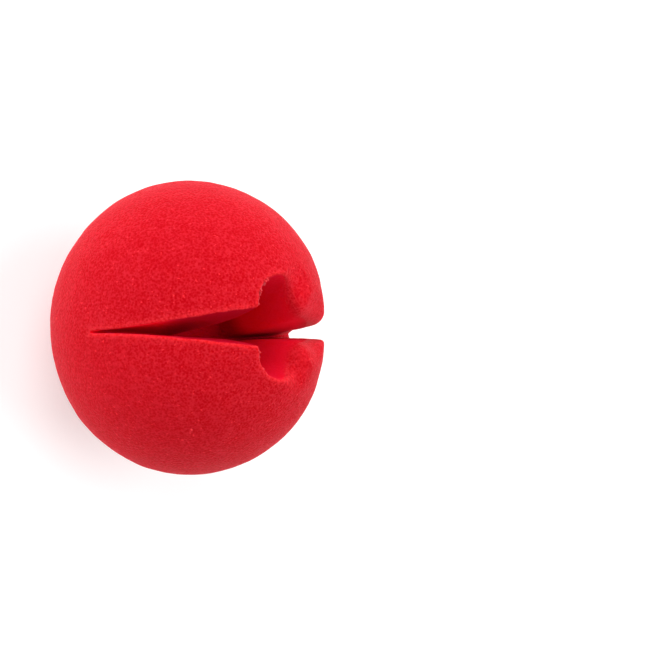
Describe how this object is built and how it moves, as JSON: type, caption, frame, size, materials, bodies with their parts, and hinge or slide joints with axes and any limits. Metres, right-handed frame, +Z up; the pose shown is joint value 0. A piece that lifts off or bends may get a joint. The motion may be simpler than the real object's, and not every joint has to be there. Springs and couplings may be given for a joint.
{
  "type": "clown nose",
  "caption": "Round clown nose of soft red sponge foam, slit half-way through, with a blind round hole in the slit that grips the wearer's nose.",
  "frame": {"origin": "middle of the small flat that the ball stands on, under the middle of its box", "axes": "+Z up, out of the mouth of the slit and along the nose hole; +X along the slit, towards its wider open end; +Y across the slit, towards the thicker lip"},
  "size_m": [0.0472, 0.0518, 0.049],
  "materials": {
    "red_foam": "dry matte open-cell sponge foam, dyed through, fine even cells"
  },
  "bodies": {
    "root": {"foam_ball": "red_foam"}
  },
  "joints": []
}
